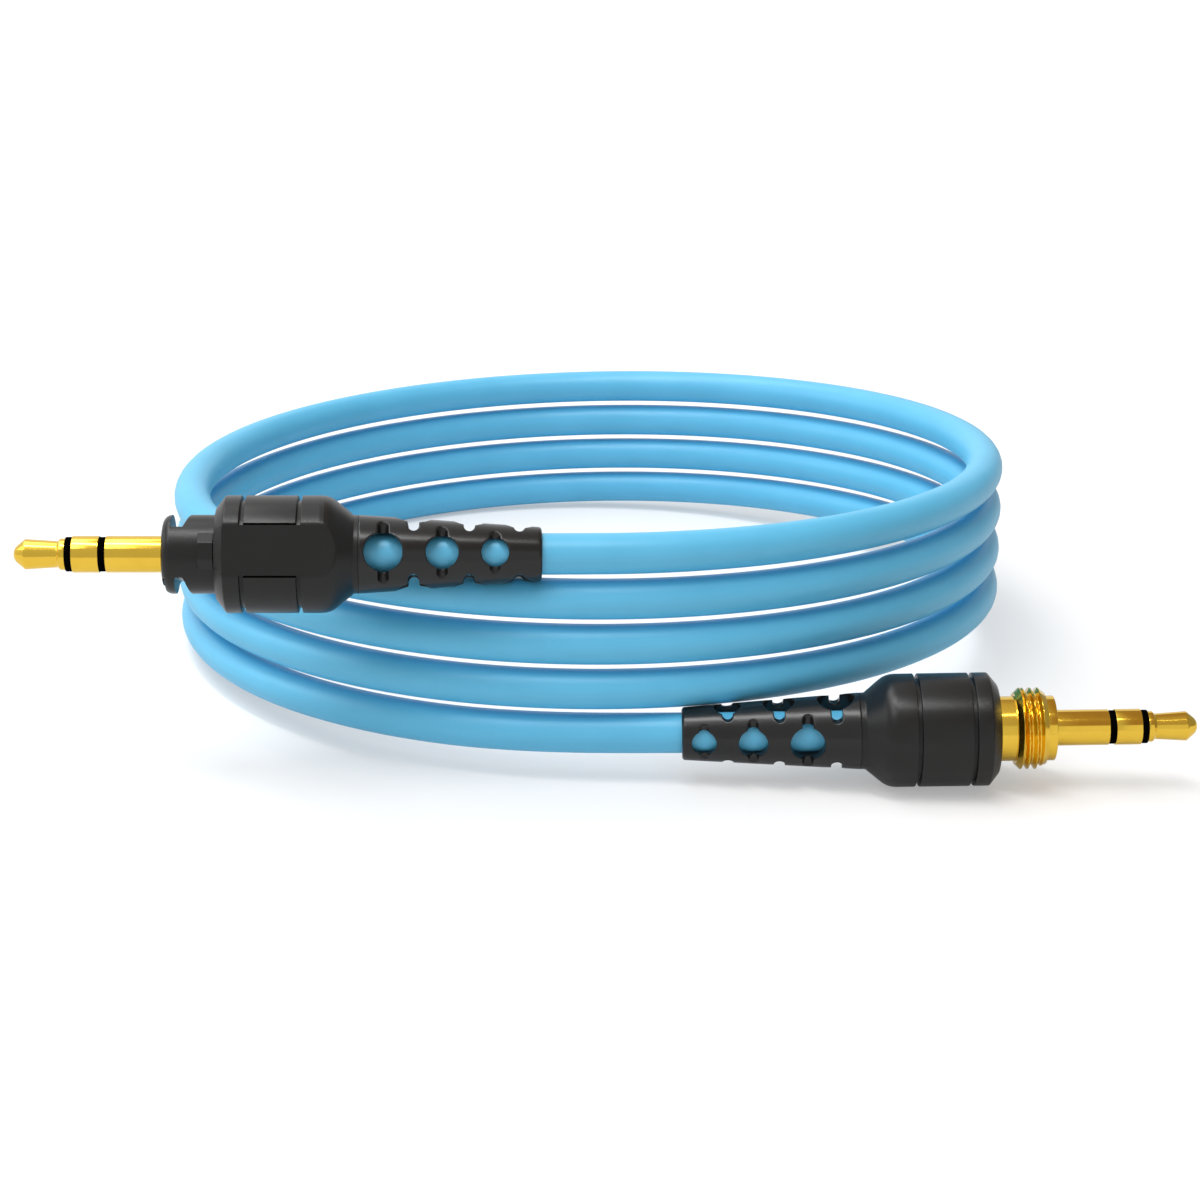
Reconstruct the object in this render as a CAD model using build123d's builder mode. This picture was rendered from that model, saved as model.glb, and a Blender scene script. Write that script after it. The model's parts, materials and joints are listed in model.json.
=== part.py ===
from build123d import *
from math import cos, pi, radians, sin, sqrt, tan
import os

# Headphone cable in a coil of four turns, in millimetres. One end has a three-pole 3.5 mm plug with a
# bayonet collar, the other a three-pole 3.5 mm plug with a threaded collar.
#
# Each plug is drawn in a frame of its own: Z runs along the plug towards its tip, Z = 0 is the shoulder
# that stops the plug in its socket, and X points out of the pad, the key and the first pair of boot holes.
# The plugs and the cord are then set in the coil's frame: its Z is the coil's axis, -Y is the front,
# where both ends leave the coil, and Z = 0 is the centre of the lowest turn's front.
# Last, all of it is set on the bench, on which the coil and the source plug's housing rest.

# ---------------------------------------------------------------- fits
slide_gap = 0.03          # radial gap of pieces that push into each other
clip_gap = 0.08           # gap between the clip's ends and the pad

# ---------------------------------------------------------------- contacts, usual 3.5 mm sizes
contact_diameter = 3.5
contact_length = 14.0     # shoulder to tip
tip_length = 4.9
tip_collar_diameter = 3.0
tip_collar_length = 0.5
tip_neck_diameter = 2.5
tip_neck_length = 0.25
tip_widest_diameter = 2.9
tip_widest_round = 0.3
tip_nose_length = 1.1     # widest point to the end
tip_nose_diameter = 0.85
tip_nose_round = 0.2
insulator_width = 0.65    # each black ring, flush with the gold
ring_width = 2.5
pin_diameter = 1.0        # the tip's centre pin
sleeve_wall = 0.5
shank_diameter = 3.1      # sleeve contact inside its collar

# ---------------------------------------------------------------- the contacts' rear ends
flange_depth = 5.6        # shoulder to the flange that the sleeve contact is riveted into
flange_thickness = 0.6
flange_diameter = 5.2
washer_thickness = 0.5
washer_diameter = 4.0
lug_thickness = 0.4
lug_diameter = 3.0
tube_end = 0.6            # tip insulator behind the ring's lug
pin_end = 0.7             # pin behind the tip insulator
wire_diameter = 0.5
wire_circle = 1.8         # circle on which the wires leave the jacket

# ---------------------------------------------------------------- collars
collar_length = 8.0
collar_shows = 5.1        # length ahead of the housing
collar_diameter = 7.5     # bayonet collar, and the inside of both housings

face_diameter = 3.7       # flat of the bayonet collar's front face
face_fall = 0.12          # the face's rim is this far behind its flat
face_round = 0.65
channel_floor = 4.8       # distance across the two channel floors
channel_front = 0.97      # shoulder to the first channel's front wall
channel_corner = 0.25
channel_floor_end = 2.0   # shoulder to the foot of the channels' rear walls
channel_back = 2.75       # and to their tops
lug_setback = 0.35        # the second lug is this far behind the first
lug_bevel = 0.3
key_width = 1.6
key_bevel = 0.75
key_length = 1.45
key_end = 0.05            # key to housing
key_height = 0.3          # above the collar

step_diameter = 6.35
step_length = 0.9
thread_diameter = 8.0
thread_length = 2.95
thread_chamfer = 0.5
neck_extra = 0.45         # the source plug's housing and boot sit this much further back

# ---------------------------------------------------------------- housings
headphone_housing_diameter = 11.2
source_housing_diameter = 11.1
front_land = 0.65         # flat ring of the housing's front face round the collar
front_bevel = 0.9         # length of the bevel behind it
bevel_round = 0.25
rear_length = 3.1         # boot's flange to the housing's mouth
shoulder_angle = 40.0     # slope of the conical shoulder, from the axis
shoulder_round = 2.3
mouth_wall = 0.72         # wall of the housing's mouth round the boot
mouth_land = 0.5
pad_width = 5.0
seat_setback = 2.4        # housing's front to the marker's seat
seat_length = 5.7
seat_depth = 1.2
marker_groove = 0.48      # groove at each side of the marker
marker_rib = 0.3          # thickness of the marker's full-width inner layer
cap_lip = 1.2             # front cap's wall round the threaded collar

# ---------------------------------------------------------------- strain relief
chamber_length = 6.0      # room for the soldered ends, between collar and boot
chamber_wall = 0.5
ferrule_length = 1.8
ferrule_wall = 0.7
jacket_stub = 0.6         # jacket ahead of the ferrule
boot_flange = 1.4
boot_waist_diameter = 6.0
boot_root_diameter = 7.4
boot_end_diameter = 5.2
boot_length = 17.4
boot_round = 0.3
hole_first = 2.34         # boot's root to the first pair of holes
hole_pitch = 2.85
hole_pitch_ratio = 0.95   # each pitch to the one before
hole_diameter = 3.65
hole_ratio = 0.92         # each hole to the one before
hole_margin = 0.8         # last hole to the boot's end
groove_width = 1.03       # round-bottomed groove straight across each hole
groove_floor = 4.1        # distance between the two grooves' floors

# ---------------------------------------------------------------- cord
cable_diameter = 4.0
boot_gap = 0.05           # boot round the cable
coil_diameter = 90.0      # across the turns' centre line
coil_turns = 4
turn_gap = 0.6
coil_face = 3.0           # degrees from the front to each end face of the coil's solid
rest_angle = 222.0        # degrees from the front to where the coil touches the bench

headphone_exit = 4.46     # coil's front to the end of the headphone plug's boot
headphone_out = 0.5       # the boot's end outside the coil's centre line
headphone_up = 0.09       # and above the top turn
headphone_rise = 1.5      # degrees that the plug's tip is raised
headphone_turn = 3.3      # degrees that it is turned to the front
headphone_roll = 20.0     # degrees that its pad is turned up
source_exit = 9.03
source_out = 0.3
source_down = 0.03        # below the lowest turn
source_rise = 0.9
source_turn = 1.5
source_roll = 86.5

# ---------------------------------------------------------------- worked out from the sizes above
contact_radius = contact_diameter / 2
shank_radius = shank_diameter / 2
pin_radius = pin_diameter / 2
layer = (contact_radius - sleeve_wall - pin_radius) / 3
tip_tube_radius = pin_radius + layer
ring_tube_radius = tip_tube_radius + layer
sleeve_bore_radius = ring_tube_radius + layer

tip_back = contact_length - tip_length
ring_front = tip_back - insulator_width
ring_back = ring_front - ring_width
sleeve_front = ring_back - insulator_width

flange_back = -flange_depth - flange_thickness
washer_back = flange_back - washer_thickness
lug_back = washer_back - lug_thickness
tip_tube_back = lug_back - tube_end
pin_back = tip_tube_back - pin_end

collar_radius = collar_diameter / 2
bore_radius = collar_radius + slide_gap
neck_radius = step_diameter / 2
cable_radius = cable_diameter / 2

housing_front = -collar_shows
seat_front = housing_front - seat_setback
seat_back = seat_front - seat_length
chamber_back = -collar_length - chamber_length
bore_end = chamber_back - boot_flange
boot_front = bore_end - rear_length
boot_back = boot_front - boot_length
waist_radius = boot_waist_diameter / 2
mouth_radius = waist_radius + slide_gap
mouth_outer = mouth_radius + mouth_wall
spigot_front = housing_front - cap_lip
ferrule_front = chamber_back + ferrule_length
jacket_end = ferrule_front + jacket_stub

pitch = cable_diameter + turn_gap
coil_radius = coil_diameter / 2
source_housing_radius = source_housing_diameter / 2


# ---------------------------------------------------------------- contacts
def tube(inner, outer, front, back):
    """A plain tube between two heights, with these inner and outer radii."""
    with BuildPart() as piece:
        with BuildSketch(Plane.XY.offset(back)):
            Circle(outer)
            Circle(inner, mode=Mode.SUBTRACT)
        extrude(amount=front - back)
    return piece.part


def rod(radius, front, back):
    """A plain round rod between two heights."""
    with BuildPart() as piece:
        with BuildSketch(Plane.XY.offset(back)):
            Circle(radius)
        extrude(amount=front - back)
    return piece.part


def tip_contact():
    """Nose, cone, neck and collar, with the centre pin that runs back to its solder joint."""
    collar = tip_collar_diameter / 2
    neck = tip_neck_diameter / 2
    collar_front = tip_back + tip_collar_length
    widest_point = (tip_widest_diameter / 2, contact_length - tip_nose_length)
    nose_point = (tip_nose_diameter / 2, contact_length)
    with BuildPart() as piece:
        with BuildSketch(Plane.XZ) as profile:
            with BuildLine():
                Polyline(
                    (0, contact_length),
                    (0, pin_back),
                    (pin_radius, pin_back),
                    (pin_radius, tip_back),
                    (collar, tip_back),
                    (collar, collar_front),
                    (neck, collar_front + tip_neck_length),
                    widest_point,
                    nose_point,
                    close=True,
                )
            make_face()
            fillet(profile.vertices().sort_by_distance(widest_point)[0], tip_widest_round)
            fillet(profile.vertices().sort_by_distance(nose_point)[0], tip_nose_round)
        revolve(axis=Axis.Z)
    return piece.part


def tip_insulator():
    with BuildPart() as piece:
        add(tube(pin_radius, tip_tube_radius, ring_front, tip_tube_back))
        add(tube(pin_radius, contact_radius, tip_back, ring_front))
    return piece.part


def ring_contact():
    with BuildPart() as piece:
        add(tube(tip_tube_radius, ring_tube_radius, ring_back, washer_back))
        add(tube(tip_tube_radius, contact_radius, ring_front, ring_back))
        add(tube(tip_tube_radius, lug_diameter / 2, washer_back, lug_back))
    return piece.part


def ring_insulator():
    with BuildPart() as piece:
        add(tube(ring_tube_radius, sleeve_bore_radius, sleeve_front, flange_back))
        add(tube(ring_tube_radius, contact_radius, ring_back, sleeve_front))
        add(tube(ring_tube_radius, washer_diameter / 2, flange_back, washer_back))
    return piece.part


def sleeve_contact():
    with BuildPart() as piece:
        add(tube(sleeve_bore_radius, contact_radius, sleeve_front, 0))
        add(tube(sleeve_bore_radius, shank_radius, 0, -flange_depth))
        add(tube(sleeve_bore_radius, flange_diameter / 2, -flange_depth, flange_back))
    return piece.part


def wire(start_radius, start, angle, end):
    """One core, from its solder joint to the cut end of the jacket."""
    length = start - end
    out = (cos(radians(angle)), sin(radians(angle)))
    end_radius = wire_circle / 2
    knee = start - 0.3 * length
    heel = end + 0.3 * length
    with BuildPart() as piece:
        with BuildLine() as path:
            FilletPolyline(
                (start_radius * out[0], start_radius * out[1], start),
                (start_radius * out[0], start_radius * out[1], knee),
                (end_radius * out[0], end_radius * out[1], heel),
                (end_radius * out[0], end_radius * out[1], end),
                radius=wire_diameter,
            )
        with BuildSketch(Plane(path.line @ 0, z_dir=(0, 0, -1))):
            Circle(wire_diameter / 2)
        sweep()
    return piece.part


# ---------------------------------------------------------------- collars
def bored_collar(piece, length):
    """Cut the contact's bore and the room for its flange."""
    with BuildPart() as bored:
        add(piece)
        add(rod(shank_radius, 0, -length), mode=Mode.SUBTRACT)
        add(rod(flange_diameter / 2 + slide_gap, -flange_depth, -length), mode=Mode.SUBTRACT)
    return bored.part


def bayonet_collar():
    """Round-faced collar with a lug at each side, a channel behind each lug, and a key on the pad's side."""
    floor = channel_floor / 2
    past = collar_radius + 1
    face_rim = (collar_radius, -face_fall)
    key_flat = collar_radius + key_height
    with BuildPart() as piece:
        with BuildSketch(Plane.XZ) as profile:
            with BuildLine():
                Polyline(
                    (0, 0),
                    (face_diameter / 2, 0),
                    face_rim,
                    (collar_radius, -collar_length),
                    (0, -collar_length),
                    close=True,
                )
            make_face()
            fillet(profile.vertices().sort_by_distance(face_rim)[0], face_round)
        revolve(axis=Axis.Z)
        for side, front in ((1, channel_front), (-1, channel_front + lug_setback)):
            corner = (side * floor, -front)
            with BuildSketch(Plane.YZ) as channel:
                with BuildLine():
                    Polyline(
                        (side * collar_radius, -channel_back),
                        (side * past, -channel_back),
                        (side * past, -front),
                        corner,
                        (side * floor, -channel_floor_end),
                    )
                    Spline(
                        (side * floor, -channel_floor_end),
                        (side * collar_radius, -channel_back),
                        tangents=[(0, -1), (0, -1)],
                    )
                make_face()
                fillet(channel.vertices().sort_by_distance(corner)[0], channel_corner)
            extrude(amount=past, both=True, mode=Mode.SUBTRACT)
        with BuildSketch(Plane.YZ):
            with BuildLine():
                Polyline(
                    (-floor, 1),
                    (-floor, -lug_setback),
                    (-collar_radius + lug_bevel, -lug_setback),
                    (-collar_radius, -lug_setback - lug_bevel),
                    (-past, -lug_setback - lug_bevel),
                    (-past, 1),
                    close=True,
                )
            make_face()
        extrude(amount=past, both=True, mode=Mode.SUBTRACT)
        with BuildSketch(Plane.XY.offset(housing_front + key_end)):
            with BuildLine():
                Polyline(
                    (floor, -key_width / 2 - key_bevel),
                    (key_flat - key_bevel, -key_width / 2 - key_bevel),
                    (key_flat, -key_width / 2),
                    (key_flat, key_width / 2),
                    (key_flat - key_bevel, key_width / 2 + key_bevel),
                    (floor, key_width / 2 + key_bevel),
                    close=True,
                )
            make_face()
        extrude(amount=key_length)
    return bored_collar(piece.part, collar_length)


def threaded_collar():
    """Step, thread land and neck. The land has the thread's outer size."""
    land = thread_diameter / 2
    land_front = -step_length
    land_back = land_front - thread_length
    length = collar_length + neck_extra
    with BuildPart() as piece:
        with BuildSketch(Plane.XZ):
            with BuildLine():
                Polyline(
                    (0, 0),
                    (neck_radius, 0),
                    (neck_radius, land_front),
                    (land - thread_chamfer, land_front),
                    (land, land_front - thread_chamfer),
                    (land, land_back + thread_chamfer),
                    (land - thread_chamfer, land_back),
                    (neck_radius, land_back),
                    (neck_radius, -length),
                    (0, -length),
                    close=True,
                )
            make_face()
        revolve(axis=Axis.Z)
    return bored_collar(piece.part, length)


# ---------------------------------------------------------------- housings
def shoulder_corner(radius):
    """Height at which a housing's barrel would meet its conical shoulder, were that corner sharp."""
    return boot_front + mouth_land + (radius - mouth_outer) / tan(radians(shoulder_angle))


def housing_form(radius):
    """Outer form of a housing, without its inside: bevelled front, barrel, conical shoulder, mouth."""
    bevel_corner = (radius, housing_front - front_bevel)
    rear_corner = (radius, shoulder_corner(radius))
    with BuildPart() as piece:
        with BuildSketch(Plane.XZ) as profile:
            with BuildLine():
                Polyline(
                    (0, boot_front),
                    (0, housing_front),
                    (bore_radius + front_land, housing_front),
                    bevel_corner,
                    rear_corner,
                    (mouth_outer, boot_front + mouth_land),
                    (mouth_outer, boot_front),
                    close=True,
                )
            make_face()
            fillet(profile.vertices().sort_by_distance(bevel_corner)[0], bevel_round)
            fillet(profile.vertices().sort_by_distance(rear_corner)[0], shoulder_round)
        revolve(axis=Axis.Z)
    return piece.part


def rear_inside():
    """Room inside a housing for the insulating sleeve, the boot's flange and the boot's waist."""
    with BuildPart() as piece:
        add(rod(bore_radius, housing_front, bore_end))
        add(rod(mouth_radius, bore_end, boot_front))
    return piece.part


def headphone_housing():
    """One-piece housing. Its pad is a flat that the marker clip stops short of."""
    radius = headphone_housing_diameter / 2
    pad_height = sqrt(radius**2 - (pad_width / 2) ** 2)
    length = housing_front - boot_front
    with BuildPart() as seat:
        add(tube(radius - seat_depth, radius + 1, seat_front, seat_back))
        with Locations((radius, 0, (seat_front + seat_back) / 2)):
            Box(2 * radius, pad_width, seat_length, mode=Mode.SUBTRACT)
    with BuildPart() as piece:
        add(housing_form(radius))
        add(rear_inside(), mode=Mode.SUBTRACT)
        add(seat.part, mode=Mode.SUBTRACT)
        with Locations((pad_height + radius / 2, 0, housing_front - length / 2)):
            Box(radius, 2 * radius, length, mode=Mode.SUBTRACT)
    return piece.part


def marker_band(radius):
    """Closed marker: a full-width inner layer, and an outer layer with a groove at each side."""
    inner = radius - seat_depth + slide_gap
    with BuildPart() as piece:
        add(tube(inner, inner + marker_rib, seat_front, seat_back))
        add(tube(inner, radius, seat_front - marker_groove, seat_back + marker_groove))
    return piece.part


def marker_clip():
    """The same band, open where the pad stands."""
    radius = headphone_housing_diameter / 2
    with BuildPart() as piece:
        add(marker_band(radius))
        with Locations((radius, 0, (seat_front + seat_back) / 2)):
            Box(2 * radius, pad_width + 2 * clip_gap, seat_length, mode=Mode.SUBTRACT)
    return piece.part


def front_cap():
    """Front of the source housing, pressed over the rear shell's spigot."""
    spigot = source_housing_radius - seat_depth
    with BuildPart() as piece:
        add(housing_form(source_housing_radius))
        add(rod(source_housing_radius + 1, seat_front, boot_front), mode=Mode.SUBTRACT)
        add(rod(neck_radius + slide_gap, housing_front, seat_front), mode=Mode.SUBTRACT)
        add(rod(spigot + slide_gap, spigot_front, seat_front), mode=Mode.SUBTRACT)
    return piece.part


def rear_shell():
    """Rear of the source housing, with the spigot that carries the marker ring and the front cap."""
    spigot = source_housing_radius - seat_depth
    with BuildPart() as piece:
        add(housing_form(source_housing_radius))
        add(tube(spigot, source_housing_radius + 1, housing_front, seat_back), mode=Mode.SUBTRACT)
        add(rod(spigot + 1, housing_front, spigot_front - slide_gap), mode=Mode.SUBTRACT)
        add(rear_inside(), mode=Mode.SUBTRACT)
    return piece.part


# ---------------------------------------------------------------- strain relief
def boot_holes():
    """Distance from the boot's root and diameter of each pair of holes, smaller and closer to the end."""
    holes = []
    place = hole_first
    step = hole_pitch
    diameter = hole_diameter
    while place + diameter / 2 + hole_margin < boot_length:
        holes.append((place, diameter))
        place += step
        step *= hole_pitch_ratio
        diameter *= hole_ratio
    return holes


def strain_relief_boot():
    """Tapered boot with pairs of holes, each a quarter turn from the pair before and crossed by grooves."""
    root = boot_root_diameter / 2
    end = boot_end_diameter / 2
    inner = cable_radius + boot_gap
    groove_middle = (groove_floor + groove_width + root) / 2
    with BuildPart() as piece:
        with BuildSketch(Plane.XZ) as profile:
            with BuildLine():
                Polyline(
                    (inner, chamber_back),
                    (collar_radius, chamber_back),
                    (collar_radius, bore_end),
                    (waist_radius, bore_end),
                    (waist_radius, boot_front),
                    (root, boot_front),
                    (end, boot_back),
                    (inner, boot_back),
                    close=True,
                )
            make_face()
            fillet(profile.vertices().sort_by_distance((end, boot_back))[0], boot_round)
        revolve(axis=Axis.Z)
        for index, (place, diameter) in enumerate(boot_holes()):
            height = boot_front - place
            across, along = (Plane.YZ, Plane.XZ) if index % 2 == 0 else (Plane.XZ, Plane.YZ)
            with BuildSketch(across):
                with Locations((0, height)):
                    Circle(diameter / 2)
            extrude(amount=root + 1, both=True, mode=Mode.SUBTRACT)
            with BuildSketch(along):
                with Locations((groove_middle, height), (-groove_middle, height)):
                    SlotCenterToCenter(root, groove_width)
            extrude(amount=root + 1, both=True, mode=Mode.SUBTRACT)
    return piece.part


def contacts(end):
    """The contacts and cores that both plugs share, for a jacket that is cut at this height."""
    ring_joint = (tip_tube_radius + lug_diameter / 2) / 2
    ground_joint = (washer_diameter + flange_diameter) / 4
    return {
        "tip_contact": tip_contact(),
        "tip_insulator": tip_insulator(),
        "ring_contact": ring_contact(),
        "ring_insulator": ring_insulator(),
        "sleeve_contact": sleeve_contact(),
        "tip_wire": wire(0, pin_back, 90, end),
        "ring_wire": wire(ring_joint, lug_back, 210, end),
        "ground_wire": wire(ground_joint, flange_back, 330, end),
    }


# ---------------------------------------------------------------- frames
def plug_frame(end, side, rise, turn, roll):
    """Frame of a plug whose boot ends at this point and that points to this side, -1 left or 1 right."""
    reach = cos(radians(rise))
    sideways = side * reach * cos(radians(turn))
    towards_tip = Vector(sideways, -reach * sin(radians(turn)), sin(radians(rise)))
    pad = Vector(0, -cos(radians(roll)), sin(radians(roll)))
    pad = (pad - towards_tip * towards_tip.dot(pad)).normalized()
    return Plane(end - towards_tip * boot_back, x_dir=pad, z_dir=towards_tip)


def coil_point(angle, height, radius=coil_radius):
    """A point in the coil's frame, this many degrees round from the front, counter-clockwise from above."""
    return Vector(radius * sin(radians(angle)), -radius * cos(radians(angle)), height)


headphone_end = Vector(-headphone_exit, -coil_radius - headphone_out, coil_turns * pitch + headphone_up)
headphone_frame = plug_frame(headphone_end, -1, headphone_rise, headphone_turn, headphone_roll)

# The source plug's housing and boot have a frame of their own, further back by the longer neck.
source_end = Vector(source_exit, -coil_radius - source_out, -source_down)
source_rear_frame = plug_frame(source_end, 1, source_rise, source_turn, source_roll)
source_frame = source_rear_frame.offset(neck_extra)


def bench_plane():
    """The plane under the lowest turn at the rest angle and under the source housing's rear edge."""
    turn = coil_point(rest_angle, pitch * (1 - rest_angle / 360))
    along = coil_point(rest_angle + 90, 0).normalized() - Vector(0, 0, pitch / (pi * coil_diameter))
    rounding = shoulder_round * tan(radians(shoulder_angle / 2))
    barrel_back = shoulder_corner(source_housing_radius) + rounding
    barrel = source_rear_frame.from_local_coords(Vector(0, 0, barrel_back))
    up = Vector(0, 0, 1)
    for _ in range(6):
        turn_foot = turn - up * cable_radius
        barrel_foot = barrel - up * source_housing_radius
        up = along.cross(turn_foot - barrel_foot).normalized()
        if up.Z < 0:
            up = up * -1
    under_coil = up * up.dot(turn_foot)
    return Plane(under_coil, x_dir=(1, 0, 0), z_dir=up)


bench = bench_plane()


# ---------------------------------------------------------------- cord
coil_start = coil_point(coil_face, pitch * (coil_turns - coil_face / 360))
coil_finish = coil_point(-coil_face, pitch * coil_face / 360)

# The two leads, in the coil's frame. Each is held straight by its boot, then bends on to the coil, and is
# cut at the plane of the coil's end face, which faces along the turn towards the plug.
headphone_route = [
    headphone_frame.from_local_coords(Vector(0, 0, jacket_end)),
    Vector(-2.96, -45.41, 18.45),
    Vector(2.7, -44.92, 18.35),
]
source_route = [
    Vector(-2.7, -44.93, 0.05),
    Vector(7.53, -45.26, -0.05),
    source_rear_frame.from_local_coords(Vector(0, 0, jacket_end)),
]
start_face = Plane(coil_start, z_dir=(-cos(radians(coil_face)), -sin(radians(coil_face)), 0))
finish_face = Plane(coil_finish, z_dir=(cos(radians(coil_face)), -sin(radians(coil_face)), 0))


def corner_radii(route):
    """The largest arc that each corner's two runs allow."""
    radii = []
    for before, corner, after in zip(route, route[1:], route[2:]):
        arriving = corner - before
        leaving = after - corner
        half_turn = radians(arriving.get_angle(leaving)) / 2
        radii.append(0.45 * min(arriving.length, leaving.length) / tan(half_turn))
    return radii


def lead(label, route, coil_end_face):
    """A straight stretch and a bend, cut off where it meets the coil's end face."""
    radii = corner_radii(route)
    with BuildPart() as piece:
        with BuildLine() as path:
            FilletPolyline(*route, radius=radii)
        with BuildSketch(Plane(route[0], z_dir=route[1] - route[0])) as section:
            Circle(cable_radius)
        sweep()
        length = path.wires()[0].length
        expected = section.sketch.area * length
        print(label, "radii", [round(r, 1) for r in radii], "length", round(length, 2))
        print(label, "volume", round(piece.part.volume, 3), "section times length", round(expected, 3))
        split(bisect_by=coil_end_face, keep=Keep.TOP)
    return piece.part


def cord_coil():
    """Outer form of the turns: a round-edged band, as tall as four turns, that climbs one pitch."""
    sweep_angle = 360 - 2 * coil_face
    with BuildPart() as piece:
        with BuildLine():
            Helix(pitch, pitch * sweep_angle / 360, coil_radius, lefthand=True)
        with BuildSketch(Plane.XZ):
            with Locations((coil_radius, pitch * (coil_turns - 1) / 2)):
                SlotCenterToCenter(pitch * (coil_turns - 1), cable_diameter, rotation=90)
        sweep(is_frenet=True)
    finish_plane = Plane((0, 0, coil_finish.Z), x_dir=(coil_finish.X, coil_finish.Y, 0), z_dir=(0, 0, 1))
    return finish_plane.from_local_coords(piece.part)


# ---------------------------------------------------------------- assembly
def export(label, part):
    """Set a part of the coil's frame on the bench and write it."""
    placed = bench.to_local_coords(part)
    placed.label = label
    export_step(placed, f"parts/{label}.step")


os.makedirs("parts", exist_ok=True)

ferrule = tube(cable_radius, cable_radius + ferrule_wall, ferrule_front, chamber_back)
boot = strain_relief_boot()
headphone_front_pieces = {
    **contacts(jacket_end),
    "bayonet_collar": bayonet_collar(),
}
headphone_rear_pieces = {
    "housing": headphone_housing(),
    "marker_clip": marker_clip(),
    "insulating_sleeve": tube(collar_radius - chamber_wall, collar_radius, -collar_length, chamber_back),
    "crimp_ferrule": ferrule,
    "strain_relief_boot": boot,
}
source_front_pieces = {
    **contacts(jacket_end - neck_extra),
    "threaded_collar": threaded_collar(),
}
source_rear_pieces = {
    "front_cap": front_cap(),
    "marker_ring": marker_band(source_housing_radius),
    "rear_shell": rear_shell(),
    "insulating_sleeve": tube(neck_radius + slide_gap, collar_radius, spigot_front, chamber_back),
    "crimp_ferrule": ferrule,
    "strain_relief_boot": boot,
}
for plug, frame, pieces in (
    ("headphone", headphone_frame, headphone_front_pieces),
    ("headphone", headphone_frame, headphone_rear_pieces),
    ("source", source_frame, source_front_pieces),
    ("source", source_rear_frame, source_rear_pieces),
):
    for name, part in pieces.items():
        export(f"{plug}_{name}", frame.from_local_coords(part))

export("cord_coil", cord_coil())
export("headphone_lead", lead("headphone lead", headphone_route, start_face))
export("source_lead", lead("source lead", source_route, finish_face))
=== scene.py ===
import json
import math

import bmesh
import bpy
from mathutils import Matrix, Vector


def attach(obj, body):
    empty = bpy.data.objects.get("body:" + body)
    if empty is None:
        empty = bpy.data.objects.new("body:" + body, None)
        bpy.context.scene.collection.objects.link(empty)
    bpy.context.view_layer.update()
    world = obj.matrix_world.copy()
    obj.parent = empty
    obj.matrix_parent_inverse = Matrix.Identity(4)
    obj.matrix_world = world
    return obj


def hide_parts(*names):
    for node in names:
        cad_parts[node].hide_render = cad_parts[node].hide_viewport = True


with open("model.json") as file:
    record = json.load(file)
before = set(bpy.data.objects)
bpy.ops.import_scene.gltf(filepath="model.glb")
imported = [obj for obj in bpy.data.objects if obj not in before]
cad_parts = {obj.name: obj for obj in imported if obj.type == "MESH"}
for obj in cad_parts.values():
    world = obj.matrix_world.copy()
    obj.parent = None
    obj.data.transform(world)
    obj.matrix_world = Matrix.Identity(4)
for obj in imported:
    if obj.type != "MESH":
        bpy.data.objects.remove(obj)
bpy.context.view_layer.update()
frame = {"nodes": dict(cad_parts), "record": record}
nodes = frame["nodes"]
mounts = {mount["name"]: mount for mount in frame["record"]["mounts"]}

# Lengths are in millimetres in the coil's and the plugs' own frames, and in metres in the stage's.
MM = 0.001


# ---------------------------------------------------------------- frames
def turned(x, y, z):
    """The rotation to these three axes."""
    return Matrix((x, y, z)).transposed().to_4x4()


def placed(origin, x_axis, z_axis):
    """A matrix from a frame in millimetres, with these directions, to the stage's in metres."""
    z = Vector(z_axis).normalized()
    x = Vector(x_axis)
    x = (x - z * x.dot(z)).normalized()
    return Matrix.Translation(origin) @ turned(x, z.cross(x), z) @ Matrix.Scale(MM, 4)


def linked(name, data):
    """A new object in the scene."""
    thing = bpy.data.objects.new(name, data)
    bpy.context.scene.collection.objects.link(thing)
    return thing


# The coil's frame: Z is the coil's axis, -Y its front, and Z = 0 the middle of the lowest turn's
# front.
PITCH = 4.6
TURNS = 4
COIL_RADIUS = 45.0
CABLE_DIAMETER = 4.0
loop = mounts["coil_loop"]
loop_axis = Vector(loop["axis"])
loop_x = Vector((loop_axis.z, 0, -loop_axis.x))     # the stage's X, tilted into the coil's plane
COIL = placed(Vector(loop["pos_m"]) - loop_axis * PITCH * TURNS / 2 * MM, loop_x, loop_axis)


def coil_direction(x, y, z):
    """A direction in the coil's frame, on the stage."""
    return (COIL.to_3x3() @ Vector((x, y, z))).normalized()


# Each plug's frame: Z runs towards its tip, Z = 0 is its shoulder, and X points out of its pad or
# its first holes. The source plug's housing and boot have a frame of their own, NECK_EXTRA further
# back.
HEADPHONE_ROLL = math.radians(20.0)
SOURCE_ROLL = math.radians(86.5)
NECK_EXTRA = 0.45
TIP_BACK = 9.1             # rear of the tip; the plug's mount is midway from here to the shoulder
HOUSING_FRONT = -5.1
SEAT_FRONT = HOUSING_FRONT - 2.4        # the marker's seat in the housing
SEAT_BACK = SEAT_FRONT - 5.7
COLLAR_BACK = -8.0
CHAMBER_BACK = COLLAR_BACK - 6.0        # the room for the soldered ends
JACKET_END = CHAMBER_BACK + 2.4
BORE_END = CHAMBER_BACK - 1.4           # the housing's bore, which the boot's flange fills
BOOT_FRONT = BORE_END - 3.1             # the boot outside the housing
BOOT_BACK = BOOT_FRONT - 17.4


def plug_frame(mount, roll):
    """A plug's frame from its mount, with its X axis this far up from the coil's front."""
    axis = Vector(mount["axis"])
    shoulder = Vector(mount["pos_m"]) - axis * TIP_BACK / 2 * MM
    return placed(shoulder, coil_direction(0, -math.cos(roll), math.sin(roll)), axis)


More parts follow.
